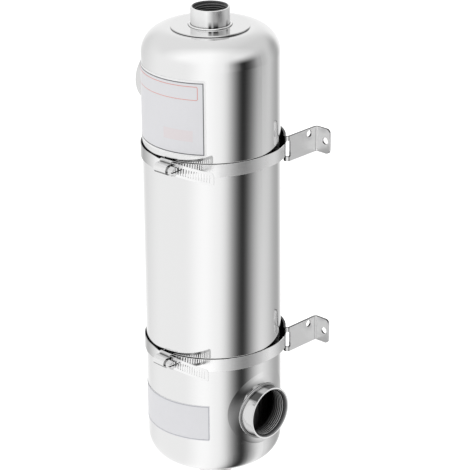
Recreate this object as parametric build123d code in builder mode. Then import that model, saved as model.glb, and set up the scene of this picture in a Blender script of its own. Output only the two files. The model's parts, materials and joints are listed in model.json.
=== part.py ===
# Pool heat exchanger: an upright polished steel vessel with a tube bundle inside, a threaded
# coupling on each end and on two opposite sides, held off a wall by two worm-drive clamps that
# pass through slotted wall brackets. Sizes are in mm, +Z is up.
#
# The origin is on the wall, at the centre of the screw hole in the upper bracket's foot.
# The wall is the plane Y = 0, the vessel stands in front of it on the -Y side.
import os
from math import acos, atan2, cos, degrees, hypot, radians, sin, sqrt

from build123d import *

os.makedirs("parts", exist_ok=True)

# Vessel
shell_diameter = 133.0
shell_wall = 1.5
vessel_length = 446.0  # from the flat of one head to the flat of the other
head_skirt = 11.0  # straight rim of each head below its rounded corner
pad_diameter = 76.0  # stiffening disc in the middle of each head
pad_thickness = 1.6
pad_fillet = 0.3
pad_margin = 3.5  # flat ring between the disc and the head's rounded corner

# Threaded couplings, with plain bores at the thread's size
end_port_diameter = 37.6
end_port_wall = 2.5
end_port_stand = 17.9  # above the disc
end_port_reach = 4.0  # past the inside of the head
side_port_diameter = 52.8
side_port_wall = 2.5
side_port_stand = 9.6  # past the widest point of the shell
side_port_reach = 2.5  # past the inside of the shell, at the edge of its hole
side_port_margin = 0.3  # between its weld bead and the seam of the head
mouth_chamfer = 0.9
rim_fillet = 0.4

# Weld beads round the couplings
weld_width = 1.7
weld_rise = 1.4
weld_fillet = 0.9

# Tube bundle
tube_share = 0.727  # of the space from tube to tube
tube_wall = 0.8
tube_margin = 9.5  # between the outer tubes and the shell
tube_rings = 3  # rings of tubes round the middle one
tube_stub = 1.5  # tube end past its sheet
sheet_thickness = 5.0

# Clamps
clamp_spacing = 201.2  # between the two brackets
band_width = 12.7
band_thickness = 0.7
band_rise = 1.5  # the band rides high in its bracket's slot
loop_slack = 0.6  # the loop touches the shell only at the back
bracket_angle = 55.0  # round the vessel, where the loop is drawn out to its bracket
corner_stand = 5.15  # from the shell to the loop, at the bracket
corner_ease = 5.55  # the loop is this much tighter round the bracket than round the vessel
upper_turn = 1.4  # the two clamps are not turned quite alike
lower_turn = -3.3
inner_end_length = 2.0
lap_angle = 17.0  # the outer lap leaves the round of the loop this far before the housing
lap_bend_radius = 12.0
tail_lead = 0.6  # straight past the housing
tail_radius = 270.0
tail_length = 49.0
tail_corner = 3.0
band_slot_width = 1.3
band_slot_length = 7.6
band_slot_pitch = 3.1
band_slot_count = 15
band_slot_slant = 6.0
band_slot_margin = 4.0  # last slot to the end of the tail

# Worm housing and screw
housing_length = 15.0
housing_setback = 0.5  # from the start of the straight lap
housing_floor = 1.1
housing_side = 0.8
housing_roof = 1.0
housing_shoulder = 2.6  # height of its wide lower part
worm_diameter = 7.6
screw_collar_length = 2.4
screw_collar_diameter = 6.0
screw_head_flats = 7.9
screw_head_length = 5.6
screw_slot_width = 1.2
screw_slot_depth = 1.6
screw_tip_length = 0.8

# Wall brackets, each a strip bent to a Z
bracket_width = 25.4
bracket_thickness = 2.0
bracket_bend = 2.5  # to the middle of the strip
wall_stand = 22.2  # from the shell to the wall
foot_length = 17.7  # from the middle of the arm to the free edge
foot_corner = 4.5
foot_hole_offset = 11.9  # from the middle of the arm
foot_hole_diameter = 7.0
arm_hole_depth = 12.4  # from the wall
arm_hole_rise = 7.8  # above the middle of the strip
arm_hole_diameter = 7.0
fold_angle = 39.7  # round the loop's corner, where the strip is folded back
flange_length = 34.0  # along its curve
slot_depth = 1.0  # of the slot past the fold, in the arm
slot_height = 16.4
slot_corner = 1.2

# Clearances
weld_gap = 0.3  # between round pieces that are joined by welding
sheet_gap = 0.3
running_gap = 0.2  # between the moving pieces of a clamp
seat_gap = 0.1  # between the band and what sits on it

# Places worked out from the sizes
shell_radius = shell_diameter / 2
pad_radius = pad_diameter / 2
knuckle_radius = shell_radius - pad_radius - pad_margin
head_face = vessel_length / 2
knuckle_start = head_face - knuckle_radius
seam = knuckle_start - head_skirt
end_face = head_face + pad_thickness
end_port_hole = end_port_diameter / 2 + weld_gap
side_port_hole = side_port_diameter / 2 + weld_gap
side_port_level = seam - side_port_margin - weld_width - side_port_hole
side_port_root = sqrt((shell_radius - shell_wall) ** 2 - (side_port_diameter / 2) ** 2) - side_port_reach
side_port_rim = shell_radius + side_port_stand

# The loop of each clamp, drawn out to its bracket, and where the bracket stands for it
loop_radius = shell_radius + seat_gap + band_thickness / 2 + loop_slack
loop_crest = shell_radius + band_thickness / 2 + corner_stand
corner_radius = loop_radius - corner_ease
corner_reach = loop_crest - corner_radius
corner_x = corner_reach * cos(radians(bracket_angle))
corner_y = corner_reach * sin(radians(bracket_angle))
flange_radius = corner_radius - band_thickness / 2 - seat_gap - bracket_thickness / 2
flange_end = fold_angle + degrees(flange_length / flange_radius)
fold_x = corner_x + (flange_radius + bracket_bend) * cos(radians(fold_angle))
fold_y = corner_y + (flange_radius + bracket_bend) * sin(radians(fold_angle))
arm_offset = fold_x + bracket_bend
wall_distance = shell_radius + wall_stand

axis_x = -arm_offset - foot_hole_offset
axis_y = -wall_distance
middle_z = -clamp_spacing / 2
middle_plane = Plane((axis_x, axis_y, middle_z))
vessel_axis = Axis((axis_x, axis_y, middle_z), (0, 0, 1))
ends = {"top": 1, "bottom": -1}
side_ports = {"lower": (1, -side_port_level), "upper": (-1, side_port_level)}
levels = {"upper": (clamp_spacing / 2, upper_turn), "lower": (-clamp_spacing / 2, lower_turn)}


def end_plane(sign, height):
    """Plane across the vessel, facing out of the given end."""
    return Plane((axis_x, axis_y, middle_z + sign * height), x_dir=(1, 0, 0), z_dir=(0, 0, sign))


def side_plane(sign, level, distance):
    """Plane facing out of the vessel's side, at a distance from its axis."""
    return Plane((axis_x + sign * distance, axis_y, middle_z + level), x_dir=(0, 1, 0), z_dir=(sign, 0, 0))


def save(solid, name):
    solid.label = name
    export_step(solid, f"parts/{name}.step")


# Shell: a rolled tube with a hole for each side coupling
with BuildPart() as shell:
    with BuildSketch(middle_plane.offset(-seam)):
        Circle(shell_radius)
        Circle(shell_radius - shell_wall, mode=Mode.SUBTRACT)
    extrude(amount=seam + seam)
    for sign, level in side_ports.values():
        with BuildSketch(side_plane(sign, level, 0)):
            Circle(side_port_hole)
        extrude(amount=side_port_rim, mode=Mode.SUBTRACT)
save(shell.part, "shell")

# Heads: pressed cups with a rounded corner, and a stiffening disc on each round the coupling's hole
for end, sign in ends.items():
    with BuildPart() as head:
        corner_start = shell_radius - knuckle_radius
        with BuildSketch(Plane((axis_x, axis_y, middle_z), x_dir=(1, 0, 0), z_dir=(0, -sign, 0))):
            with BuildLine():
                outside = CenterArc((corner_start, knuckle_start), knuckle_radius, 0, 90)
                inside = CenterArc((corner_start, knuckle_start), knuckle_radius - shell_wall, 0, 90)
                Polyline(
                    outside @ 1,
                    (end_port_hole, head_face),
                    (end_port_hole, head_face - shell_wall),
                    inside @ 1,
                )
                Polyline(
                    outside @ 0,
                    (shell_radius, seam),
                    (shell_radius - shell_wall, seam),
                    inside @ 0,
                )
            make_face()
        revolve(axis=vessel_axis)
    save(head.part, f"{end}_head")

    with BuildPart() as pad:
        with BuildSketch(end_plane(sign, head_face)):
            Circle(pad_radius)
            Circle(end_port_hole, mode=Mode.SUBTRACT)
        extrude(amount=pad_thickness)
        fillet(pad.faces().sort_by(Axis.Z)[-1 if sign > 0 else 0].outer_wire().edges(), pad_fillet)
    save(pad.part, f"{end}_pad")

# Couplings on the two ends, each with a weld bead round its foot
for end, sign in ends.items():
    port_root = head_face - shell_wall - end_port_reach
    with BuildPart() as end_port:
        with BuildSketch(end_plane(sign, port_root)):
            Circle(end_port_diameter / 2)
            Circle(end_port_diameter / 2 - end_port_wall, mode=Mode.SUBTRACT)
        extrude(amount=end_face + end_port_stand - port_root)
        rim = end_port.faces().sort_by(Axis.Z)[-1 if sign > 0 else 0]
        chamfer(rim.inner_wires()[0].edges(), mouth_chamfer)
        fillet(end_port.faces().sort_by(Axis.Z)[-1 if sign > 0 else 0].outer_wire().edges(), rim_fillet)
    save(end_port.part, f"{end}_port")

    with BuildPart() as end_weld:
        with BuildSketch(end_plane(sign, end_face)):
            Circle(end_port_hole + weld_width)
            Circle(end_port_hole, mode=Mode.SUBTRACT)
        extrude(amount=weld_rise)
        crest = end_weld.faces().sort_by(Axis.Z)[-1 if sign > 0 else 0]
        fillet(crest.outer_wire().edges(), weld_fillet)
    save(end_weld.part, f"{end}_port_weld")

# Couplings on the two sides, each with a weld bead that follows the shell
for side, (sign, level) in side_ports.items():
    with BuildPart() as side_port:
        with BuildSketch(side_plane(sign, level, side_port_root)):
            Circle(side_port_diameter / 2)
            Circle(side_port_diameter / 2 - side_port_wall, mode=Mode.SUBTRACT)
        extrude(amount=side_port_rim - side_port_root)
        rim = side_port.faces().sort_by(Axis.X)[-1 if sign > 0 else 0]
        chamfer(rim.inner_wires()[0].edges(), mouth_chamfer)
        fillet(side_port.faces().sort_by(Axis.X)[-1 if sign > 0 else 0].outer_wire().edges(), rim_fillet)
    save(side_port.part, f"{side}_side_port")

    with BuildPart() as side_weld:
        with BuildSketch(side_plane(sign, level, 0)):
            Circle(side_port_hole + weld_width)
            Circle(side_port_hole, mode=Mode.SUBTRACT)
        extrude(amount=side_port_rim)
        with BuildSketch(middle_plane.offset(level - side_port_diameter)):
            Circle(shell_radius + weld_gap + weld_rise)
            Circle(shell_radius + weld_gap, mode=Mode.SUBTRACT)
        extrude(amount=side_port_diameter + side_port_diameter, mode=Mode.INTERSECT)
    save(side_weld.part, f"{side}_side_port_weld")

# Tube bundle: rings of straight tubes on a six-sided pattern, held by a sheet in each head
tube_pitch = (shell_radius - shell_wall - tube_margin) / (tube_rings + tube_share / 2)
tube_diameter = tube_pitch * tube_share
tube_places = []
for row in range(-tube_rings, tube_rings + 1):
    for column in range(-tube_rings, tube_rings + 1):
        if abs(row + column) <= tube_rings:
            tube_places.append((tube_pitch * (column + row / 2), tube_pitch * row * sin(radians(60))))

for end, sign in ends.items():
    with BuildPart() as sheet:
        with BuildSketch(end_plane(sign, seam)):
            Circle(shell_radius - shell_wall - sheet_gap)
            with Locations(tube_places):
                Circle(tube_diameter / 2 + sheet_gap, mode=Mode.SUBTRACT)
        extrude(amount=sheet_thickness)
    save(sheet.part, f"{end}_tube_sheet")

tube_end = seam + sheet_thickness + tube_stub
with BuildPart() as tubes:
    with BuildSketch(middle_plane.offset(-tube_end)):
        with Locations(tube_places):
            Circle(tube_diameter / 2)
            Circle(tube_diameter / 2 - tube_wall, mode=Mode.SUBTRACT)
    extrude(amount=tube_end + tube_end)
save(tubes.part, "tube_bundle")

# Clamps: a slotted band that laps over its own inner end, a worm housing on the lap and a screw
lap = band_thickness + seat_gap + housing_floor + running_gap
loop_bottom = -loop_slack - loop_radius
tail_y = loop_bottom - lap
lap_turn = radians(lap_angle)
lap_run = ((loop_radius - lap_bend_radius) * (1 - cos(lap_turn)) + lap) / sin(lap_turn)
lap_x = lap_run * cos(lap_turn) - (loop_radius - lap_bend_radius) * sin(lap_turn)
housing_x = lap_x + housing_setback
tail_x = housing_x + housing_length + tail_lead
tail_turn = tail_length / tail_radius
housing_base = loop_bottom - band_thickness / 2 - seat_gap
worm_radius = worm_diameter / 2
worm_y = tail_y - band_thickness / 2 - running_gap - worm_radius
barrel_bore = worm_radius + running_gap
barrel_radius = barrel_bore + housing_roof
housing_half_width = band_width / 2 + running_gap + housing_side
for side, (level, turn) in levels.items():
    clamp = Plane(
        (axis_x, axis_y, middle_z + level + band_rise),
        x_dir=(cos(radians(turn)), sin(radians(turn)), 0),
        z_dir=(0, 0, 1),
    )
    corner = Vector(corner_reach, 0).rotate(Axis.Z, bracket_angle - turn)
    way_out = degrees(atan2(corner.Y + loop_slack, corner.X))
    opening = degrees(acos((loop_radius - corner_radius) / hypot(corner.X, corner.Y + loop_slack)))
    with BuildPart() as band:
        with BuildSketch(clamp.offset(-band_width / 2)):
            with BuildLine():
                loop = (0, -loop_slack)
                front = CenterArc(loop, loop_radius, -90, 90 + way_out - opening)
                round_bracket = CenterArc((corner.X, corner.Y), corner_radius, way_out - opening, opening * 2)
                back = CenterArc(loop, loop_radius, way_out + opening, 270 - lap_angle - way_out - opening)
                lap_bend = CenterArc(
                    (lap_x, tail_y + lap_bend_radius), lap_bend_radius, -90 - lap_angle, lap_angle
                )
                tail = CenterArc((tail_x, tail_y + tail_radius), tail_radius, -90, degrees(tail_turn))
                Line((-inner_end_length, loop_bottom), front @ 0)
                Line(front @ 1, round_bracket @ 0)
                Line(round_bracket @ 1, back @ 0)
                Line(back @ 1, lap_bend @ 0)
                Line(lap_bend @ 1, tail @ 0)
            trace(line_width=band_thickness)
        extrude(amount=band_width)

        # The tail's end is rounded, and slots are cut square to its curve
        tail_centre = Vector(tail_x, tail_y + tail_radius)
        spoke = Vector(0, -tail_radius).rotate(Axis.Z, degrees(tail_turn))
        tail_tip = clamp.from_local_coords(tail_centre + spoke)
        tip_axis = Axis(tail_tip, tail_tip - clamp.from_local_coords(tail_centre))
        fillet(band.edges().filter_by(tip_axis).sort_by_distance(tail_tip)[:2], tail_corner)
        for number in range(band_slot_count):
            place = (tail_length - band_slot_margin - number * band_slot_pitch) / tail_radius
            spoke = Vector(0, -tail_radius - band_thickness).rotate(Axis.Z, degrees(place))
            inward = clamp.y_dir.rotate(Axis.Z, degrees(place))
            slot_face = Plane(clamp.from_local_coords(tail_centre + spoke), x_dir=(0, 0, 1), z_dir=inward)
            with BuildSketch(slot_face):
                Rectangle(band_slot_length, band_slot_width, rotation=band_slot_slant)
            extrude(amount=band_thickness * 2, mode=Mode.SUBTRACT)
    save(band.part, f"{side}_clamp_band")

    lane = Plane(
        clamp.from_local_coords(Vector(housing_x, 0, 0)),
        x_dir=(0, 0, -1),
        z_dir=clamp.x_dir,
    )
    with BuildPart() as housing:
        with BuildSketch(lane):
            with Locations((0, housing_base)):
                Rectangle(housing_half_width * 2, housing_shoulder, align=(Align.CENTER, Align.MAX))
                Rectangle(barrel_radius * 2, housing_base - worm_y, align=(Align.CENTER, Align.MAX))
            with Locations((0, worm_y)):
                Circle(barrel_radius)
                Circle(barrel_bore, mode=Mode.SUBTRACT)
            with Locations((0, tail_y)):
                Rectangle(
                    band_width + running_gap * 2,
                    band_thickness + running_gap * 2,
                    mode=Mode.SUBTRACT,
                )
        extrude(amount=housing_length)
    save(housing.part, f"{side}_clamp_housing")

    screw_start = clamp.from_local_coords(Vector(housing_x, worm_y, 0))
    screw_lane = Plane(screw_start, x_dir=(0, 0, 1), z_dir=clamp.x_dir)
    collar_end = housing_length + screw_collar_length
    head_end = collar_end + screw_head_length
    with BuildPart() as screw:
        with BuildSketch(screw_lane.offset(-screw_tip_length)):
            Circle(worm_radius)
        extrude(amount=housing_length + screw_tip_length)
        with BuildSketch(screw_lane.offset(housing_length)):
            Circle(screw_collar_diameter / 2)
        extrude(amount=screw_collar_length)
        with BuildSketch(screw_lane.offset(collar_end)):
            RegularPolygon(screw_head_flats / 2, 6, major_radius=False)
        extrude(amount=screw_head_length)
        with BuildSketch(screw_lane.offset(head_end - screw_slot_depth)):
            Rectangle(screw_slot_width, screw_head_flats * 2)
        extrude(amount=screw_slot_depth, mode=Mode.SUBTRACT)
    save(screw.part, f"{side}_clamp_screw")

# Brackets: foot on the wall, arm, and a flange folded back between the band and the shell. The band
# comes to the outside of the flange through a slot in the fold
flange_tip = Vector(corner_x, corner_y) + Vector(flange_radius, 0).rotate(Axis.Z, flange_end)
for side, (level, turn) in levels.items():
    with BuildPart() as bracket:
        foot_y = wall_distance - bracket_thickness / 2
        with BuildSketch(middle_plane.offset(level - bracket_width / 2)):
            with BuildLine():
                FilletPolyline(
                    (arm_offset + foot_length, foot_y),
                    (arm_offset, foot_y),
                    (arm_offset, fold_y),
                    radius=bracket_bend,
                )
                CenterArc((fold_x, fold_y), bracket_bend, 0, fold_angle - 180)
                CenterArc((corner_x, corner_y), flange_radius, fold_angle, flange_end - fold_angle)
            trace(line_width=bracket_thickness)
        extrude(amount=bracket_width)
        fillet(bracket.edges().filter_by(Axis.Y).group_by(Axis.X)[-1], foot_corner)
        tip = middle_plane.offset(level).from_local_coords(flange_tip)
        tip_axis = Axis(tip, Vector(1, 0).rotate(Axis.Z, flange_end))
        fillet(bracket.edges().filter_by(tip_axis).sort_by_distance(tip)[:2], foot_corner)
        with BuildSketch(Plane((0, 0, middle_z + level), z_dir=(0, -1, 0))):
            Circle(foot_hole_diameter / 2)
        extrude(amount=bracket_thickness, mode=Mode.SUBTRACT)
        arm_hole = (axis_x + arm_offset - bracket_thickness, -arm_hole_depth, middle_z + level + arm_hole_rise)
        with BuildSketch(Plane(arm_hole, x_dir=(0, 1, 0), z_dir=(1, 0, 0))):
            Circle(arm_hole_diameter / 2)
        extrude(amount=bracket_thickness * 2, mode=Mode.SUBTRACT)
        slot_end = (axis_x, axis_y + fold_y + slot_depth, middle_z + level)
        with BuildSketch(Plane(slot_end, x_dir=(0, 1, 0), z_dir=(1, 0, 0))):
            RectangleRounded(slot_height, slot_height, slot_corner, align=(Align.MAX, Align.CENTER))
        extrude(amount=arm_offset + bracket_thickness, mode=Mode.SUBTRACT)
    save(bracket.part, f"{side}_bracket")
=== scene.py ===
import json
import math

import bpy
from mathutils import Matrix, Vector


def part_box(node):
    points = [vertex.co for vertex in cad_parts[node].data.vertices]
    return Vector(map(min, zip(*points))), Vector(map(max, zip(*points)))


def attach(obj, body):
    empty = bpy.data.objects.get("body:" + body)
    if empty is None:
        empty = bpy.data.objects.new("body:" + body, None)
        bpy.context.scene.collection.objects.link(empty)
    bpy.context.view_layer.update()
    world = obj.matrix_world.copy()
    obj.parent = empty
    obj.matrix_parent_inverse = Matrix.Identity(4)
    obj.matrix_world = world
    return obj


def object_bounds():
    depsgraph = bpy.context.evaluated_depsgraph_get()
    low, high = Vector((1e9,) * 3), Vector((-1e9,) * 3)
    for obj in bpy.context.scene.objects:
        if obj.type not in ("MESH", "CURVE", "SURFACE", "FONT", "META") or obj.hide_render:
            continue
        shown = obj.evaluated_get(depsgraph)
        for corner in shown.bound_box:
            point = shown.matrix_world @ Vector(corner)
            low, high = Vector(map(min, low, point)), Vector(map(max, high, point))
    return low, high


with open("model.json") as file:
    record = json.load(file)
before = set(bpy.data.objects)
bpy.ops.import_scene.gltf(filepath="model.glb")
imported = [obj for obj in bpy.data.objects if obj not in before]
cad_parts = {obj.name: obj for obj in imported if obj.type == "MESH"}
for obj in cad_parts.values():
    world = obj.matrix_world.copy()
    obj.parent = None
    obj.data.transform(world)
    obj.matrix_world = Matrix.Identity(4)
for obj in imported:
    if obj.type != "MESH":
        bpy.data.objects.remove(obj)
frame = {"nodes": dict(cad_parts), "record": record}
cad_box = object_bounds()
nodes = frame["nodes"]
scene = bpy.context.scene
MM = 0.001
UP, DOWN = (0, 0, 1), (0, 0, -1)
LEVEL = (1, 1, 0)  # keeps what is level of a vector

# The vessel's middle and radius, and its threaded holes, read from the frame, in metres
shell_low, shell_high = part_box("shell")
middle = (shell_low + shell_high) / 2
shell_radius = (shell_high.x - shell_low.x) / 2
mounts = {mount["name"]: mount for mount in frame["record"]["mounts"]}
end_holes = ("top_port_thread", "bottom_port_thread")
side_holes = ("lower_side_thread", "upper_side_thread")

# Sockets of a mix node that have no name of their own: two numbers in, two colours in, and the colour out
NUMBER_A, NUMBER_B, COLOUR_A, COLOUR_B, COLOUR_OUT = 2, 3, 6, 7, 2
NOISE_LOW, NOISE_HIGH = 0.3, 0.7  # most of what a noise gives lies between these


# Helpers


def linear(hex_colour):
    """sRGB hex to the linear colour that sockets take."""
    channels = [int(hex_colour[i : i + 2], 16) / 255 for i in (1, 3, 5)]
    return [c / 12.92 if c <= 0.04045 else ((c + 0.055) / 1.055) ** 2.4 for c in channels] + [1.0]


def add(tree, kind, sockets=(), **settings):
    """Adds a node with its settings, and gives each named socket a value or a link."""
    node = tree.nodes.new(kind)
    for key, value in settings.items():
        setattr(node, key, value)
    for key, value in dict(sockets).items():
        if isinstance(value, bpy.types.NodeSocket):
            tree.links.new(value, node.inputs[key])
        else:
            node.inputs[key].default_value = value
    return node


def new_material(name, sockets):
    """A material with one shader, its plain values set, ready for patterns."""
    made = bpy.data.materials.new(name)
    made.use_nodes = True
    tree = made.node_tree
    tree.nodes.clear()
    shader = add(tree, "ShaderNodeBsdfPrincipled", sockets)
    add(tree, "ShaderNodeOutputMaterial", {"Surface": shader.outputs["BSDF"]})
    return made, tree, shader


def all_of(tree, first, *others):
    """The share where several shares meet: their product."""
    for other in others:
        first = add(tree, "ShaderNodeMath", {0: first, 1: other}, operation="MULTIPLY").outputs[0]
    return first


def tinted(tree, colour, layers):
    """The colour with tints laid over it in turn, each where its share is 1."""
    for share, tint in layers:
        colour = add(
            tree,
            "ShaderNodeMix",
            {"Factor": share, COLOUR_A: colour, COLOUR_B: tint},
            data_type="RGBA",
        ).outputs[COLOUR_OUT]
    return colour


def shaded_in_corners(tree, colour, crevice):
    """The colour with painted shade, darkened in corners and gaps narrower than the crevice."""
    closed, open_share = 0.4, 0.82
    light = add(tree, "ShaderNodeAmbientOcclusion", {"Distance": crevice}, samples=8).outputs["AO"]
    lit = add(tree, "ShaderNodeMapRange", {"Value": light, "From Min": closed, "From Max": open_share})
    return tinted(tree, linear("#1c1c1c"), [(lit.outputs["Result"], colour)])


def paint(tree, shader, colour, crevice=None):
    """Gives a shader its colour, with painted shade in corners where a crevice is given."""
    if crevice:
        colour = shaded_in_corners(tree, colour, crevice)
    tree.links.new(colour, shader.inputs["Base Color"])


def facing(tree, way, first, last, both=False):
    """Goes from 0 to 1 as faces turn to one way, or to it and its opposite, between two cosines."""
    normal = add(tree, "ShaderNodeTexCoord").outputs["Normal"]
    turned = add(tree, "ShaderNodeVectorMath", {0: normal, 1: way}, operation="DOT_PRODUCT").outputs["Value"]
    if both:
        turned = add(tree, "ShaderNodeMath", {0: turned}, operation="ABSOLUTE").outputs[0]
    return add(
        tree,
        "ShaderNodeMapRange",
        {"Value": turned, "From Min": first, "From Max": last},
    ).outputs["Result"]


def out_from(tree, centre, across):
    """The way to each point from an axis through a centre; across is 1 on the axes that it keeps."""
    place = add(tree, "ShaderNodeTexCoord").outputs["Object"]
    arm = add(tree, "ShaderNodeVectorMath", {0: place, 1: centre}, operation="SUBTRACT").outputs[0]
    return add(tree, "ShaderNodeVectorMath", {0: arm, 1: across}, operation="MULTIPLY").outputs[0]


def facing_in(tree, arm):
    """1 on faces that look back along the way out from an axis, and 0 on the others."""
    looks_past, looks_in = -0.2, -0.5
    normal = add(tree, "ShaderNodeTexCoord").outputs["Normal"]
    arm = add(tree, "ShaderNodeVectorMath", {0: arm}, operation="NORMALIZE").outputs[0]
    outward = add(tree, "ShaderNodeVectorMath", {0: arm, 1: normal}, operation="DOT_PRODUCT").outputs["Value"]
    return add(
        tree,
        "ShaderNodeMapRange",
        {"Value": outward, "From Min": looks_past, "From Max": looks_in},
    ).outputs["Result"]


def around(tree, centre, start, first, last, soft):
    """1 between two angles in degrees round a centre, with soft edges. They count from the start axis,
    X or Z, towards Y."""
    place = add(tree, "ShaderNodeTexCoord").outputs["Object"]
    arm = add(tree, "ShaderNodeVectorMath", {0: place, 1: centre}, operation="SUBTRACT").outputs[0]
    arm = add(tree, "ShaderNodeSeparateXYZ", {0: arm}).outputs
    angle = add(tree, "ShaderNodeMath", {0: arm["Y"], 1: arm[start]}, operation="ARCTAN2").outputs[0]
    edge = math.radians(soft)
    first, last = math.radians(first), math.radians(last)
    begun = add(
        tree,
        "ShaderNodeMapRange",
        {"Value": angle, "From Min": first - edge, "From Max": first + edge},
    ).outputs["Result"]
    going = add(
        tree,
        "ShaderNodeMapRange",
        {"Value": angle, "From Min": last + edge, "From Max": last - edge},
    ).outputs["Result"]
    return all_of(tree, begun, going)


def depth_share(tree, mount, first, last):
    """0 at one depth below the mouth of a threaded hole, going to 1 at another."""
    out = Vector(mount["axis"])
    mouth = Vector(mount["pos_m"]) + out * mount["dims"]["length_mm"] * MM / 2
    place = add(tree, "ShaderNodeTexCoord").outputs["Object"]
    arm = add(tree, "ShaderNodeVectorMath", {0: mouth, 1: place}, operation="SUBTRACT").outputs[0]
    depth = add(tree, "ShaderNodeVectorMath", {0: arm, 1: out}, operation="DOT_PRODUCT").outputs["Value"]
    return add(
        tree,
        "ShaderNodeMapRange",
        {"Value": depth, "From Min": first, "From Max": last},
    ).outputs["Result"]


def dress(made, *names):
    """Gives CAD nodes a material."""
    for name in names:
        mesh = nodes[name].data
        mesh.materials.clear()
        mesh.materials.append(made)


def new_piece(name, mesh, made):
    """Puts a finished mesh in the scene as a piece of the object."""
    piece = bpy.data.objects.new(name, mesh)
    scene.collection.objects.link(piece)
    mesh.materials.append(made)
    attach(piece, "root")


def flat_faced(name, points, faces):
    """A mesh with flat faces."""
    mesh = bpy.data.meshes.new(name)
    mesh.from_pydata(points, [], faces)
    mesh.polygons.foreach_set("use_smooth", [False] * len(mesh.polygons))
    mesh.update()
    return mesh


# Materials


def polished_stainless():
    """Stainless sheet, rolled and buffed round and round: a soft mirror that draws reflections out along the
    vessel, with a faint haze from the buffing lines. The welds have pulled it a little out of true round the
    side couplings, which bends the reflections there."""
    made, tree, shader = new_material(
        "polished_stainless",
        {"Base Color": linear("#e4e4e4"), "Metallic": 1.0},
    )
    buff_line = 0.9 * MM  # drawn far coarser than the real lines, so that they show
    buff_run = 60 * MM
    buff_depth = 0.01 * MM
    smoothest, roughest = 0.05, 0.1
    place = add(tree, "ShaderNodeTexCoord").outputs["Object"]
    lines = add(
        tree,
        "ShaderNodeMapping",
        {"Vector": place, "Scale": (1 / buff_run, 1 / buff_run, 1 / buff_line)},
    ).outputs["Vector"]
    buffing = add(tree, "ShaderNodeTexNoise", {"Vector": lines, "Scale": 1.0, "Detail": 3.0}).outputs["Fac"]
    haze = add(
        tree,
        "ShaderNodeMapRange",
        {
            "Value": buffing,
            "From Min": NOISE_LOW,
            "From Max": NOISE_HIGH,
            "To Min": smoothest,
            "To Max": roughest,
        },
    )
    surface = add(
        tree,
        "ShaderNodeBump",
        {"Height": buffing, "Strength": 0.06, "Distance": buff_depth},
    ).outputs["Normal"]

    # Each pull is deepest half way between its two edges, and level beyond them
    pull_inside, pull_outside = 26 * MM, 38 * MM
    pull_depth = 0.24 * MM
    pull_rise = Vector((0, 0, 4 * MM))  # its middle lies a little above the coupling's
    same_side = (0.0, 0.3)  # how far faces turn to the coupling's side
    peak = 4.0  # brings near times far to 1 half way
    for hole in side_holes:
        axis = mounts[hole]["axis"]
        centre = Vector(mounts[hole]["pos_m"]) + pull_rise
        arm = out_from(tree, centre, [1 - abs(way) for way in axis])
        distance = add(tree, "ShaderNodeVectorMath", {0: arm}, operation="LENGTH").outputs["Value"]
        near = add(
            tree,
            "ShaderNodeMapRange",
            {"Value": distance, "From Min": pull_outside, "From Max": pull_inside},
        ).outputs["Result"]
        far = add(tree, "ShaderNodeMath", {0: 1.0, 1: near}, operation="SUBTRACT").outputs[0]
        sunk = all_of(tree, near, far, peak, facing(tree, axis, *same_side))
        surface = add(
            tree,
            "ShaderNodeBump",
            {"Height": sunk, "Strength": 1.0, "Distance": pull_depth, "Normal": surface},
            invert=True,
        ).outputs["Normal"]
    tree.links.new(haze.outputs["Result"], shader.inputs["Roughness"])
    tree.links.new(surface, shader.inputs["Normal"])
    return made


def polished_pad():
    """Stiffening disc, buffed to a mirror: its edge shows as a bright rim over a thin dark band of painted
    shade low on its edge where it sits on the head, with another band of painted shade round the weld."""
    made, tree, shader = new_material("polished_pad", {"Metallic": 1.0, "Roughness": 0.05})
    foot_shade_height = 0.45 * MM
    fade = 0.18 * MM
    weld_shade_band = (0.225 * MM, 0.675 * MM)  # beyond the weld, where its band of painted shade ends
    head_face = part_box("top_pad")[0].z - middle.z
    weld_low, weld_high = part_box("top_port_weld")
    weld_radius = (weld_high.x - weld_low.x) / 2
    place = add(tree, "ShaderNodeTexCoord").outputs["Object"]
    height = add(tree, "ShaderNodeSeparateXYZ", {0: place}).outputs["Z"]
    height = add(tree, "ShaderNodeMath", {0: height, 1: middle.z}, operation="SUBTRACT").outputs[0]
    height = add(tree, "ShaderNodeMath", {0: height}, operation="ABSOLUTE").outputs[0]
    above = add(
        tree,
        "ShaderNodeMapRange",
        {"Value": height, "From Min": head_face + foot_shade_height, "From Max": head_face + foot_shade_height + fade},
    ).outputs["Result"]
    arm = out_from(tree, middle, LEVEL)
    distance = add(tree, "ShaderNodeVectorMath", {0: arm}, operation="LENGTH").outputs["Value"]
    clear = add(
        tree,
        "ShaderNodeMapRange",
        {"Value": distance, "From Min": weld_radius + weld_shade_band[0], "From Max": weld_radius + weld_shade_band[1]},
    ).outputs["Result"]
    # Painted shade: the dark tone low on the pad's edge and round the weld
    paint(tree, shader, tinted(tree, linear("#3a3a3b"), [(all_of(tree, above, clear), linear("#e2e2e2"))]))
    return made


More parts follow.
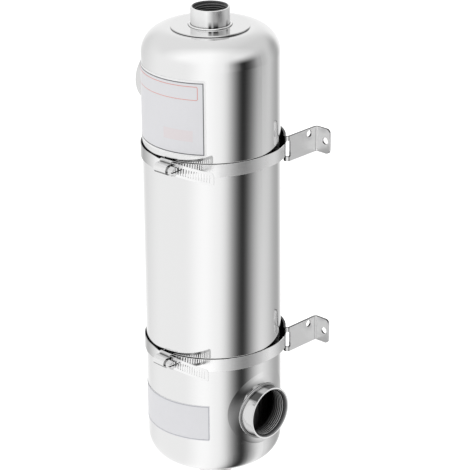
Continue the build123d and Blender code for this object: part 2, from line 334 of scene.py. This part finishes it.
def turned_stainless(name, mount, wall_tone, mouth_tone, dark_depth, smoothest, roughest, crevice, painted_reflections):
    """Stainless bar turned on a lathe: bright outside with fine tool rings round the coupling and a rim
    painted brighter as a highlight, and painted shade in the bore, darker deeper in. Painted reflections are
    darker bands painted along the wall, each (first angle, last angle, soft edge, tone, depths between which
    it comes in, or
    None for the whole wall)."""
    made, tree, shader = new_material(name, {})
    along = [abs(way) for way in mount["axis"]]
    tool_ring = 0.6 * MM  # drawn coarser than the real feed of the tool, so that it shows
    ring_run = 30 * MM
    ring_depth = 0.02 * MM
    shaded_bore_metallic = 0.3
    rim_facing = (0.5, 0.8)
    place = add(tree, "ShaderNodeTexCoord").outputs["Object"]
    rings = add(
        tree,
        "ShaderNodeMapping",
        {"Vector": place, "Scale": [1 / tool_ring if way else 1 / ring_run for way in along]},
    ).outputs["Vector"]
    tooling = add(tree, "ShaderNodeTexNoise", {"Vector": rings, "Scale": 1.0, "Detail": 2.0}).outputs["Fac"]
    haze = add(
        tree,
        "ShaderNodeMapRange",
        {
            "Value": tooling,
            "From Min": NOISE_LOW,
            "From Max": NOISE_HIGH,
            "To Min": smoothest,
            "To Max": roughest,
        },
    )
    groove = add(
        tree,
        "ShaderNodeBump",
        {"Height": tooling, "Strength": 0.12, "Distance": ring_depth},
    )
    layers = []
    # Painted reflections: darker bands painted along the wall
    for first, last, soft, tint, depths in painted_reflections:
        share = around(tree, mount["pos_m"], "X" if along[2] else "Z", first, last, soft)
        if depths:
            share = all_of(tree, share, depth_share(tree, mount, *depths))
        layers.append((share, linear(tint)))
    wall = shaded_in_corners(tree, tinted(tree, linear(wall_tone), layers), crevice)
    # Painted highlight: the rim is painted brighter than the wall
    rim = facing(tree, mount["axis"], *rim_facing, both=True)
    # Painted shade in the bore, going darker deeper in, where the metal is made less metallic too
    bore = facing_in(tree, out_from(tree, mount["pos_m"], [1 - way for way in along]))
    deeper = depth_share(tree, mount, 0.0, dark_depth)
    bore_tone = tinted(tree, linear(mouth_tone), [(deeper, linear("#0c0c0c"))])
    paint(tree, shader, tinted(tree, wall, [(rim, linear("#f0f0f0")), (bore, bore_tone)]))
    metallic = add(tree, "ShaderNodeMapRange", {"Value": bore, "To Min": 1.0, "To Max": shaded_bore_metallic})
    tree.links.new(metallic.outputs["Result"], shader.inputs["Metallic"])
    tree.links.new(haze.outputs["Result"], shader.inputs["Roughness"])
    tree.links.new(groove.outputs["Normal"], shader.inputs["Normal"])
    return made


def cut_thread(name, mount, crest, root, dark_depth):
    """Stainless thread cut with a tap: dull, with its crests bright as a painted highlight, painted shade on
    the flanks and deeper in, and smears of sealing grease here and there.
    """
    made, tree, shader = new_material(name, {"Metallic": 0.2, "Roughness": 0.45})
    smear_size = 5 * MM
    smear_share = 0.2
    unshaded_depth = 3 * MM
    crevice = 0.8 * MM
    flank_facing = (0.2, 0.5)
    place = add(tree, "ShaderNodeTexCoord").outputs["Object"]
    smear = add(tree, "ShaderNodeTexNoise", {"Vector": place, "Scale": 1 / smear_size, "Detail": 3.0})
    # The root tone is painted shade on the flanks and grease in the smears; the dark deeper in is painted
    # shade
    layers = (
        (facing(tree, mount["axis"], *flank_facing, both=True), linear(root)),
        (all_of(tree, smear.outputs["Fac"], smear_share), linear(root)),
        (depth_share(tree, mount, unshaded_depth, dark_depth), linear("#101010")),
    )
    paint(tree, shader, tinted(tree, linear(crest), layers), crevice)
    return made


def weld_stainless(name, crest, trough, haze, crevice):
    """Stainless weld bead, ground and buffed, with faint ripples left along it: bright, or dull where heat
    has tinted it."""
    made, tree, shader = new_material(name, {"Metallic": 1.0, "Roughness": haze})
    ripple_size = 1.6 * MM
    ripple_height = 0.15 * MM
    place = add(tree, "ShaderNodeTexCoord").outputs["Object"]
    ripple = add(
        tree,
        "ShaderNodeTexNoise",
        {"Vector": place, "Scale": 1 / ripple_size, "Detail": 2.0},
    ).outputs["Fac"]
    bead = add(tree, "ShaderNodeBump", {"Height": ripple, "Strength": 0.3, "Distance": ripple_height})
    paint(tree, shader, tinted(tree, linear(crest), [(ripple, linear(trough))]), crevice)
    tree.links.new(bead.outputs["Normal"], shader.inputs["Normal"])
    return made


def rolled_strip(
    name,
    colour,
    smoothest,
    roughest,
    line_size,
    crevice,
    inside=None,
    near=None,
    edge=None,
    below=None,
    painted_dark_stretches=(),
    drawn=(),
):
    """Cold-rolled stainless strip: long faint lines from the rolls, drawn coarse enough to show, and bright
    but not a mirror. It can be dark on its sheared edges, and it can carry painted shade on its inside near
    the shell and on faces that look down. Painted dark stretches and drawn stretches lie round the vessel,
    each (first angle, last angle, soft edge, and its tone or its roughness); the dark ones are a painted
    reflection.
    The plated bar of the screws shows the same lines."""
    made, tree, shader = new_material(name, {"Metallic": 1.0, "Specular IOR Level": 0.0})
    line_run = 25 * MM
    line_depth = 0.02 * MM
    edge_facing, below_facing = (0.2, 0.6), (0.25, 0.55)
    place = add(tree, "ShaderNodeTexCoord").outputs["Object"]
    lines = add(
        tree,
        "ShaderNodeMapping",
        {"Vector": place, "Scale": (1 / line_run, 1 / line_run, 1 / line_size)},
    ).outputs["Vector"]
    rolling = add(tree, "ShaderNodeTexNoise", {"Vector": lines, "Scale": 1.0, "Detail": 3.0}).outputs["Fac"]
    haze = add(
        tree,
        "ShaderNodeMapRange",
        {
            "Value": rolling,
            "From Min": NOISE_LOW,
            "From Max": NOISE_HIGH,
            "To Min": smoothest,
            "To Max": roughest,
        },
    ).outputs["Result"]
    for first, last, soft, drawn_haze in drawn:
        share = around(tree, middle, "X", first, last, soft)
        haze = add(
            tree,
            "ShaderNodeMix",
            {"Factor": share, NUMBER_A: haze, NUMBER_B: drawn_haze},
            data_type="FLOAT",
        ).outputs[0]
    streak = add(tree, "ShaderNodeBump", {"Height": rolling, "Strength": 0.15, "Distance": line_depth})
    layers = []
    if edge:
        layers.append((facing(tree, UP, *edge_facing, both=True), linear(edge)))
    # Painted shade on faces that look down
    if below:
        layers.append((facing(tree, DOWN, *below_facing), linear(below)))
    # Painted reflection: stretches painted darker
    for first, last, soft, tint in painted_dark_stretches:
        layers.append((around(tree, middle, "X", first, last, soft), linear(tint)))
    # Painted shade on the inside near the shell, where the metal is made non-metal too
    if inside:
        arm = out_from(tree, middle, LEVEL)
        distance = add(tree, "ShaderNodeVectorMath", {0: arm}, operation="LENGTH").outputs["Value"]
        close = add(
            tree,
            "ShaderNodeMapRange",
            {"Value": distance, "From Min": shell_radius + near[1], "From Max": shell_radius + near[0]},
        ).outputs["Result"]
        dark = all_of(tree, facing_in(tree, arm), close)
        layers.append((dark, linear(inside)))
        bare = add(tree, "ShaderNodeMath", {0: 1.0, 1: dark}, operation="SUBTRACT").outputs[0]
        tree.links.new(bare, shader.inputs["Metallic"])
    paint(tree, shader, tinted(tree, linear(colour), layers), crevice)
    tree.links.new(haze, shader.inputs["Roughness"])
    tree.links.new(streak.outputs["Normal"], shader.inputs["Normal"])
    return made


def drawn_tube():
    """Drawn stainless tube left as it came from the mill: dull grey, mottled by pickling."""
    made, tree, shader = new_material("drawn_tube", {"Metallic": 1.0})
    mottle_size = 6 * MM
    smoothest, roughest = 0.35, 0.55
    place = add(tree, "ShaderNodeTexCoord").outputs["Object"]
    mottle = add(
        tree,
        "ShaderNodeTexNoise",
        {"Vector": place, "Scale": 1 / mottle_size, "Detail": 4.0},
    ).outputs["Fac"]
    haze = add(tree, "ShaderNodeMapRange", {"Value": mottle, "To Min": smoothest, "To Max": roughest})
    paint(tree, shader, tinted(tree, linear("#7c7b7a"), [(mottle, linear("#5a5958"))]))
    tree.links.new(haze.outputs["Result"], shader.inputs["Roughness"])
    return made


def label_film(name, colour, gloss):
    """Polyester film, printed and stuck on: even colour under a slight satin gloss."""
    made, tree, shader = new_material(name, {"Roughness": gloss, "IOR": 1.5})
    grain_size = 1.2 * MM
    grain_height = 0.02 * MM
    shade_share = 0.96
    place = add(tree, "ShaderNodeTexCoord").outputs["Object"]
    grain = add(
        tree,
        "ShaderNodeTexNoise",
        {"Vector": place, "Scale": 1 / grain_size, "Detail": 2.0},
    ).outputs["Fac"]
    orange_peel = add(tree, "ShaderNodeBump", {"Height": grain, "Strength": 0.1, "Distance": grain_height})
    shade = [shade_share * c for c in linear(colour)[:3]] + [1.0]
    paint(tree, shader, tinted(tree, linear(colour), [(grain, shade)]))
    tree.links.new(orange_peel.outputs["Normal"], shader.inputs["Normal"])
    return made


buffed_weld = weld_stainless("buffed_weld", crest="#f4f4f4", trough="#e4e4e4", haze=0.16, crevice=1.0 * MM)
tinted_weld = weld_stainless("tinted_weld", crest="#d0d0d0", trough="#b8b8b8", haze=0.4, crevice=0.5 * MM)
band_strip = rolled_strip(
    "rolled_stainless_strip",
    colour="#f2f2f2",
    smoothest=0.36,
    roughest=0.44,
    line_size=0.8 * MM,
    crevice=0.8 * MM,
    # Painted shade on the inside near the shell
    inside="#141414",
    near=(3 * MM, 15 * MM),
    # A stretch painted darker, as a painted reflection
    painted_dark_stretches=((-160, -106, 12, "#a0a0a0"),),
    drawn=((-160, -46.5, 8.5, 0.1), (1, 100, 6, 0.2)),
)
housing_strip = rolled_strip(
    "pressed_stainless_strip",
    colour="#e6e6e6",
    smoothest=0.1,
    roughest=0.18,
    line_size=0.8 * MM,
    crevice=4 * MM,
    # Painted shade on faces that look down
    below="#303030",
)
bracket_strip = rolled_strip(
    "satin_stainless_strip",
    colour="#e8e8e8",
    smoothest=0.3,
    roughest=0.4,
    line_size=0.6 * MM,
    crevice=3 * MM,
    # Painted shade on the inside near the shell
    inside="#101010",
    near=(4 * MM, 7 * MM),
    edge="#3a3a3a",
)
screw_plate = rolled_strip(
    "bright_zinc_plate",
    colour="#dcdcdc",
    smoothest=0.12,
    roughest=0.2,
    line_size=0.5 * MM,
    crevice=1.5 * MM,
    # Painted shade on faces that look down
    below="#303030",
)

dress(polished_stainless(), "shell", "top_head", "bottom_head")
dress(polished_pad(), "top_pad", "bottom_pad")
dress(buffed_weld, "top_port_weld", "bottom_port_weld")
dress(tinted_weld, "lower_side_port_weld", "upper_side_port_weld")
dress(band_strip, "upper_clamp_band", "lower_clamp_band")
dress(housing_strip, "upper_clamp_housing", "lower_clamp_housing")
dress(screw_plate, "upper_clamp_screw", "lower_clamp_screw")
dress(bracket_strip, "upper_bracket", "lower_bracket")
dress(drawn_tube(), "top_tube_sheet", "bottom_tube_sheet", "tube_bundle")

foot = (9 * MM, 15 * MM)  # depths below the mouth between which the foot of an end coupling begins
# Painted reflections on the coupling walls, darkest at the foot of the end couplings
upright_painted_reflections = (
    (-46, -26, 10, "#b0b0b0", None),
    (-51, -42, 2, "#1c1c1c", foot),
    (-37, -22, 2.5, "#181818", foot),
    (7, 15, 3, "#3c3c3c", foot),
)
level_painted_reflections = ((-46, -22, 3, "#565656", None), (-4, 50, 3, "#6c6c6c", None))
for end in ("top", "bottom"):
    end_steel = turned_stainless(
        f"turned_stainless_{end}",
        mounts[f"{end}_port_thread"],
        wall_tone="#ececec",
        mouth_tone="#484849",
        dark_depth=30 * MM,
        smoothest=0.3,
        roughest=0.4,
        crevice=3 * MM,
        painted_reflections=upright_painted_reflections,
    )
    dress(end_steel, f"{end}_port")
for side in ("lower", "upper"):
    side_steel = turned_stainless(
        f"turned_stainless_{side}",
        mounts[f"{side}_side_thread"],
        wall_tone="#d6d6d6",
        mouth_tone="#7c7c7d",
        dark_depth=9 * MM,
        smoothest=0.07,
        roughest=0.14,
        crevice=0.6 * MM,
        painted_reflections=level_painted_reflections,
    )
    dress(side_steel, f"{side}_side_port")


# Pipe threads in the couplings: one helical ridge each, running out at both ends


def thread_ridge(name, mount, made):
    """The ridge between the turns of a thread, standing in from the bore."""
    pitch = 2.21 * MM  # eleven and a half threads to the inch
    depth = 1.3 * MM
    steps_per_turn = 96
    bare_turns = 0.7  # without thread, at each end of the hole
    run_out_turns = 0.4
    least_rise = 0.02
    crest_share = 0.2  # half the width of the flat crest, of the pitch
    root_share = 0.48  # half the width at the bore, of the pitch
    centre = Vector(mount["pos_m"])
    out = Vector(mount["axis"])
    bore = mount["dims"]["r_mm"] * MM
    length = mount["dims"]["length_mm"] * MM
    across = out.orthogonal().normalized()
    beyond = out.cross(across)
    turns = length / pitch - 2 * bare_turns
    steps = int(turns * steps_per_turn)
    points = []
    faces = []
    for step in range(steps + 1):
        turn = step / steps_per_turn
        angle = 2 * math.pi * turn
        spoke = math.cos(angle) * across + math.sin(angle) * beyond
        base = centre + out * (length / 2 - pitch * (bare_turns + turn))
        rise = min(1.0, turn / run_out_turns, (turns - turn) / run_out_turns)
        crest = bore - depth * max(rise, least_rise)
        points.append(base + bore * spoke - out * pitch * root_share)
        points.append(base + crest * spoke - out * pitch * crest_share)
        points.append(base + crest * spoke + out * pitch * crest_share)
        points.append(base + bore * spoke + out * pitch * root_share)
        if step:
            old, new = 4 * (step - 1), 4 * step
            faces += [[old + k, old + (k + 1) % 4, new + (k + 1) % 4, new + k] for k in range(4)]
    last = 4 * steps
    faces += [[3, 2, 1, 0], [last, last + 1, last + 2, last + 3]]
    new_piece(name, flat_faced(name, points, faces), made)


# Crest tones are painted highlights, and root tones are painted shade besides the grease smears
for hole in end_holes:
    end_cut = cut_thread(f"cut_{hole}", mounts[hole], crest="#989898", root="#303031", dark_depth=30 * MM)
    thread_ridge(f"{hole}s", mounts[hole], end_cut)
for hole in side_holes:
    side_cut = cut_thread(f"cut_{hole}", mounts[hole], crest="#fcfcfc", root="#1c1c1d", dark_depth=15 * MM)
    thread_ridge(f"{hole}s", mounts[hole], side_cut)


# Stuck-on films, left blank


def turn_for(width):
    """The angle in degrees that a width takes up round the shell."""
    return math.degrees(width / shell_radius)


def film_strips(name, strips, lift, made):
    """Thin curved strips on the shell, each (first azimuth, last azimuth, low, high, corner radius):
    degrees round the vessel, and metres above its middle."""
    thickness = 0.05 * MM
    corner_steps = 6
    column_turn = 2
    points = []
    faces = []
    for first, last, low, high, corner in strips:
        corner_turn = turn_for(corner)
        corner_shares = [k / corner_steps for k in range(corner_steps)] if corner else []
        columns = max(2, int((last - first) / column_turn))
        straight = last - first - 2 * corner_turn
        turns = [first + corner_turn * share for share in corner_shares]
        turns += [first + corner_turn + straight * k / columns for k in range(columns + 1)]
        turns += [last - corner_turn * share for share in reversed(corner_shares)]
        start = len(points)
        for turn in turns:
            inset = corner_turn - min(turn - first, last - turn, corner_turn)
            cut = corner - math.sqrt(max(0.0, corner**2 - math.radians(inset) ** 2 * shell_radius**2))
            spoke = Vector((math.cos(math.radians(turn)), math.sin(math.radians(turn)), 0))
            for radius, height in (
                (lift, low + cut),
                (lift, high - cut),
                (lift + thickness, high - cut),
                (lift + thickness, low + cut),
            ):
                points.append(middle + spoke * (shell_radius + radius) + Vector((0, 0, height)))
        for column in range(len(turns) - 1):
            old, new = start + 4 * column, start + 4 * column + 4
            faces += [[old + k, new + k, new + (k + 1) % 4, old + (k + 1) % 4] for k in range(4)]
        end = start + 4 * (len(turns) - 1)
        faces += [[start, start + 1, start + 2, start + 3], [end + 3, end + 2, end + 1, end]]
    new_piece(name, flat_faced(name, points, faces), made)


def inset_by(width, first, last, low, high):
    """The edges of a field that lies a width inside another."""
    turn = turn_for(width)
    return first + turn, last - turn, low + width, high - width


def outline(width, first, last, low, high):
    """The four strips of a plain printed frame."""
    turn = turn_for(width)
    return [
        (first, last, low, low + width, 0),
        (first, last, high - width, high, 0),
        (first, first + turn, low + width, high - width, 0),
        (last - turn, last, low + width, high - width, 0),
    ]


film_white = label_film("white_polyester_film", "#f2f2f2", gloss=0.3)
film_grey = label_film("grey_printed_film", "#e0e0e3", gloss=0.3)
ink_grey = label_film("dark_grey_ink", "#5f6064", gloss=0.4)
ink_pale = label_film("pale_grey_ink", "#a9abb2", gloss=0.4)
ink_red = label_film("red_ink", "#dd7a6c", gloss=0.4)
ink_pink = label_film("pale_pink_ink", "#e2dbdd", gloss=0.4)

# Lifts off the shell, in the order in which film and print lie on each other
film_lift, print_lift, ink_lift, over_lift = 0.12 * MM, 0.19 * MM, 0.26 * MM, 0.33 * MM
film_first, film_last = -148.0, -50.0

upper_low, upper_high = 114.9 * MM, 190.0 * MM
upper_corner = 1.5 * MM
upper_margin = 2.0 * MM
upper_border = 0.9 * MM
upper = (film_first, film_last, upper_low, upper_high)
upper_field = inset_by(upper_margin, *upper)
film_strips("upper_film", [(*upper, upper_corner)], film_lift, film_white)
film_strips("upper_film_field", [(*upper_field, 0)], print_lift, film_grey)
film_strips("upper_film_border", outline(upper_border, *upper_field), ink_lift, ink_grey)

title_corner, title_inner_corner = 1.6 * MM, 1.2 * MM
title_line = 0.5 * MM
title_insets = (8, 6.5)  # degrees, from the ends of the film
title_drops = (19 * MM, 5.5 * MM)  # its low and high edges, below the top of the film
title = (
    film_first + title_insets[0],
    film_last - title_insets[1],
    upper_high - title_drops[0],
    upper_high - title_drops[1],
)
film_strips("upper_film_title_box", [(*title, title_corner)], ink_lift, ink_red)
film_strips(
    "upper_film_title_field", [(*inset_by(title_line, *title), title_inner_corner)], over_lift, film_grey
)

block_insets = (38, 11)  # degrees, from the right end of the film
block_rises = (15 * MM, 26 * MM)  # its low and high edges, above the foot of the film
block = (
    film_last - block_insets[0],
    film_last - block_insets[1],
    upper_low + block_rises[0],
    upper_low + block_rises[1],
)
film_strips("upper_film_block", [(*block, 0)], ink_lift, ink_pink)

lower_low, lower_high = -181.2 * MM, -143.6 * MM
lower_corner = 1.0 * MM
lower_margin = 0.8 * MM
lower_border = 0.5 * MM
lower = (film_first, film_last, lower_low, lower_high)
film_strips("lower_film", [(*lower, lower_corner)], film_lift, film_grey)
lower_frame = outline(lower_border, *inset_by(lower_margin, *lower))
film_strips("lower_film_border", lower_frame, ink_lift, ink_pale)


# Studio: a white room with one dark screen to the right of the camera, floor well below


view_turn = math.radians(44.2)  # the camera stands this far round from -Y towards +X


def add_camera():
    """The photograph's viewpoint: far off with a long lens, looking down a little."""
    image_width = 470
    focal_pixels = 2490.6
    back, above = 2.2474, 0.9319  # from the vessel's middle
    yaw, pitch, roll = 0.0097, 0.3895, -0.0079
    forward = Vector((math.sin(yaw) * math.cos(pitch), math.cos(yaw) * math.cos(pitch), -math.sin(pitch)))
    level = Vector((math.cos(yaw), -math.sin(yaw), 0))
    upright = level.cross(forward)
    right = math.cos(roll) * level + math.sin(roll) * upright
    up = -math.sin(roll) * level + math.cos(roll) * upright
    turn = Matrix.Rotation(view_turn, 4, "Z")
    aim = Matrix((right, up, -forward)).transposed().to_4x4()
    data = bpy.data.cameras.new("camera")
    data.sensor_width = 36.0
    data.lens = focal_pixels / image_width * data.sensor_width
    data.clip_end = 50.0
    camera = bpy.data.objects.new("camera", data)
    camera.matrix_world = Matrix.Translation(middle) @ turn @ Matrix.Translation((0, -back, above)) @ aim
    scene.collection.objects.link(camera)
    scene.camera = camera


def add_world():
    """The room that the metal shows. Heights are of the way looked, from -1 straight down to 1 straight up,
    and azimuths are in degrees from the front, where the camera stands, to its right."""
    room_level = 1.06
    fan_back = 0.93  # the walls fan out from this far to the back, where 1 is level
    fan_clear = (0.15, 0.65)  # nearer to that place the walls fade to white, so that it doesn't show
    lean_heights, lean_share = (-0.455, -0.3), 0.095
    # Patches of wall: azimuth, width to each side, brightness in the middle
    patches = (
        (25.4, 22.0, 0.042),  # the dark screen
        (67.9, 28, 0.46),  # grey wall beyond it
        (11.5, 9, 1.12),  # bright edge before it
        (-7, 18, 1.16),  # bright patch beside the camera
        (-80, 32, 0.8),  # pale grey wall to the left
    )
    # The screen is wider higher up: the heights between which its wings come in, and their patches
    wings = (
        ((-0.455, -0.395), ((43, 14, 0.83),)),
        ((-0.385, -0.31), ((31, 13, 0.45), (44, 13, 0.7))),
    )
    ceiling_heights = (0.13, 0.64)  # between which the walls go over into the ceiling
    ceiling_reach, ceiling_levels = (-0.1, 0.45), (0.88, 1.17)  # from behind the vessel to the front
    far_reach, far_level = 0.5, 0.83  # the ceiling is dimmer far to the right
    white = (1, 1, 1, 1)

    world = bpy.data.worlds.new("studio")
    world.use_nodes = True
    tree = world.node_tree
    tree.nodes.clear()
    look = add(tree, "ShaderNodeTexCoord").outputs["Generated"]
    height = add(tree, "ShaderNodeSeparateXYZ", {0: look}).outputs["Z"]

    # The walls fan out from a place behind the vessel, so that its lower end shows what its side shows, and
    # they lean a little
    front = Vector((math.sin(view_turn), -math.cos(view_turn), 0))
    right = Vector((math.cos(view_turn), math.sin(view_turn), 0))
    lean = add(
        tree,
        "ShaderNodeMapRange",
        {
            "Value": height,
            "From Min": lean_heights[0],
            "From Max": lean_heights[1],
            "To Min": lean_share,
            "To Max": -lean_share,
        },
    ).outputs["Result"]
    lean = add(tree, "ShaderNodeVectorMath", {0: right, "Scale": lean}, operation="SCALE").outputs[0]
    flat = add(tree, "ShaderNodeVectorMath", {0: look, 1: LEVEL}, operation="MULTIPLY").outputs[0]
    flat = add(tree, "ShaderNodeVectorMath", {0: flat, 1: fan_back * front}, operation="ADD").outputs[0]
    flat = add(tree, "ShaderNodeVectorMath", {0: flat, 1: lean}, operation="ADD").outputs[0]
    spread = add(tree, "ShaderNodeVectorMath", {0: flat}, operation="LENGTH").outputs["Value"]
    flat = add(tree, "ShaderNodeVectorMath", {0: flat}, operation="NORMALIZE").outputs[0]

    def shade(azimuth, width, middle_level):
        """Brightness that goes from a level at one azimuth to 1 at a width to each side of it."""
        way = math.cos(math.radians(azimuth)) * front + math.sin(math.radians(azimuth)) * right
        along = add(tree, "ShaderNodeVectorMath", {0: flat, 1: way}, operation="DOT_PRODUCT").outputs["Value"]
        beside = add(tree, "ShaderNodeMath", {0: along}, operation="ARCCOSINE").outputs[0]
        return add(
            tree,
            "ShaderNodeMapRange",
            {"Value": beside, "From Max": math.radians(width), "To Min": middle_level, "To Max": 1.0},
            interpolation_type="SMOOTHSTEP",
        ).outputs["Result"]

    walls = all_of(tree, *[shade(*patch) for patch in patches])
    for (low, high), wing_patches in wings:
        wing = all_of(tree, *[shade(*patch) for patch in wing_patches])
        share = add(tree, "ShaderNodeMapRange", {"Value": height, "From Min": low, "From Max": high})
        wing = add(
            tree,
            "ShaderNodeMix",
            {"Factor": share.outputs["Result"], NUMBER_A: 1.0, NUMBER_B: wing},
            data_type="FLOAT",
        ).outputs[0]
        walls = all_of(tree, walls, wing)
    clear = add(
        tree,
        "ShaderNodeMapRange",
        {"Value": spread, "From Min": fan_clear[0], "From Max": fan_clear[1]},
        interpolation_type="SMOOTHSTEP",
    ).outputs["Result"]
    walls = add(
        tree,
        "ShaderNodeMix",
        {"Factor": clear, NUMBER_A: 1.0, NUMBER_B: walls},
        data_type="FLOAT",
    ).outputs[0]

    toward = add(tree, "ShaderNodeVectorMath", {0: look, 1: front}, operation="DOT_PRODUCT").outputs["Value"]
    ceiling = add(
        tree,
        "ShaderNodeMapRange",
        {
            "Value": toward,
            "From Min": ceiling_reach[0],
            "From Max": ceiling_reach[1],
            "To Min": ceiling_levels[0],
            "To Max": ceiling_levels[1],
        },
    ).outputs["Result"]
    rightward = add(tree, "ShaderNodeVectorMath", {0: look, 1: right}, operation="DOT_PRODUCT")
    far_side = add(
        tree,
        "ShaderNodeMapRange",
        {"Value": rightward.outputs["Value"], "From Max": far_reach, "To Min": 1.0, "To Max": far_level},
    ).outputs["Result"]
    over = add(
        tree,
        "ShaderNodeMapRange",
        {"Value": height, "From Min": ceiling_heights[0], "From Max": ceiling_heights[1]},
        interpolation_type="SMOOTHSTEP",
    ).outputs["Result"]
    room = add(
        tree,
        "ShaderNodeMix",
        {"Factor": over, NUMBER_A: walls, NUMBER_B: all_of(tree, ceiling, far_side)},
        data_type="FLOAT",
    ).outputs[0]
    strength = all_of(tree, room, room_level)
    studio = add(tree, "ShaderNodeBackground", {"Color": white, "Strength": strength}).outputs[0]
    paper = add(tree, "ShaderNodeBackground", {"Color": white, "Strength": 1.0}).outputs[0]
    seen = add(tree, "ShaderNodeLightPath").outputs["Is Camera Ray"]
    both = add(tree, "ShaderNodeMixShader", {0: seen, 1: studio, 2: paper})
    add(tree, "ShaderNodeOutputWorld", {"Surface": both.outputs[0]})
    scene.world = world


def add_floor():
    """Pale paper floor under the hung vessel, white to the camera. Metal sees the room past it."""
    drop = 0.3
    half = 12.0
    glow_level = 0.4
    level = cad_box[0][2] - drop
    corners = [(x, y, level) for x, y in ((-half, -half), (half, -half), (half, half), (-half, half))]
    mesh = flat_faced("floor", corners, [[0, 1, 2, 3]])
    floor = bpy.data.objects.new("floor", mesh)
    scene.collection.objects.link(floor)
    paper = bpy.data.materials.new("white_paper_floor")
    paper.use_nodes = True
    tree = paper.node_tree
    tree.nodes.clear()
    ray = add(tree, "ShaderNodeLightPath").outputs
    matt = add(tree, "ShaderNodeBsdfDiffuse", {"Color": linear("#f4f4f4")}).outputs[0]
    glow = add(tree, "ShaderNodeEmission", {"Strength": glow_level}).outputs[0]
    pale = add(tree, "ShaderNodeAddShader", {0: matt, 1: glow}).outputs[0]
    lit = add(tree, "ShaderNodeMixShader", {0: ray["Is Camera Ray"], 1: matt, 2: pale}).outputs[0]
    clear = add(tree, "ShaderNodeBsdfTransparent").outputs[0]
    whole = add(tree, "ShaderNodeMixShader", {0: ray["Is Glossy Ray"], 1: lit, 2: clear}).outputs[0]
    add(tree, "ShaderNodeOutputMaterial", {"Surface": whole})
    mesh.materials.append(paper)


add_camera()
add_world()
add_floor()
scene.view_settings.view_transform = "Standard"
